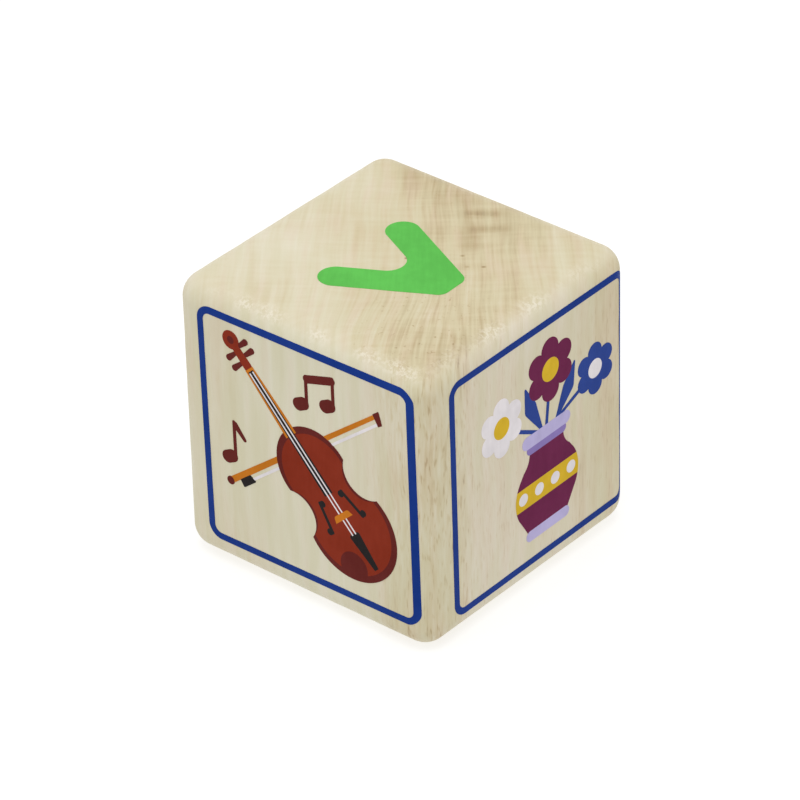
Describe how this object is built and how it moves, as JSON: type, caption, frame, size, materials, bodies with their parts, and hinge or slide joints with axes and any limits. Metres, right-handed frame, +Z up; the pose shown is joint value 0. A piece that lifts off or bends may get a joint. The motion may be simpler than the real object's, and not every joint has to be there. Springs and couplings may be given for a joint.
{
  "type": "alphabet block",
  "caption": "Solid wooden alphabet block with sanded edges, a green letter on top and underneath, and a framed picture printed on each side.",
  "frame": {"origin": "middle of the underside", "axes": "+Z up along the wood's grain, through the capital letter's face; -Y out of the front, the side with the violin; +X out of the right side, the side with the vase of flowers"},
  "size_m": [0.04, 0.04, 0.04],
  "materials": {
    "wood": "pale fine-grained hardwood, sanded, under a thin clear satin lacquer",
    "green_ink": "satin green printing ink",
    "frame_blue_ink": "satin blue printing ink",
    "rust_ink": "satin rust-brown printing ink",
    "maroon_ink": "satin maroon printing ink",
    "orange_ink": "satin orange printing ink",
    "black_ink": "satin black printing ink",
    "white_ink": "satin off-white printing ink",
    "plum_ink": "satin plum printing ink",
    "lavender_ink": "satin lavender printing ink",
    "violet_ink": "satin violet printing ink",
    "yellow_ink": "satin yellow printing ink",
    "flower_blue_ink": "satin mid-blue printing ink"
  },
  "bodies": {
    "root": {"wood_block": "wood", "capital_letter": "green_ink", "small_letter": "green_ink", "front_frame": "frame_blue_ink", "violin_rust": "rust_ink", "violin_maroon": "maroon_ink", "violin_orange": "orange_ink", "violin_black": "black_ink", "violin_white": "white_ink", "right_frame": "frame_blue_ink", "vase_plum": "plum_ink", "vase_lavender": "lavender_ink", "vase_collar": "violet_ink", "flower_yellow": "yellow_ink", "flower_white": "white_ink", "flower_blue": "flower_blue_ink", "back_frame": "frame_blue_ink", "van_rust": "rust_ink", "van_orange": "orange_ink", "van_maroon": "maroon_ink", "van_black": "black_ink", "van_white": "white_ink", "van_yellow": "yellow_ink", "left_frame": "frame_blue_ink", "volcano_maroon": "maroon_ink", "volcano_orange": "orange_ink", "volcano_yellow": "yellow_ink", "volcano_lavender": "lavender_ink", "volcano_green": "green_ink"}
  },
  "joints": []
}
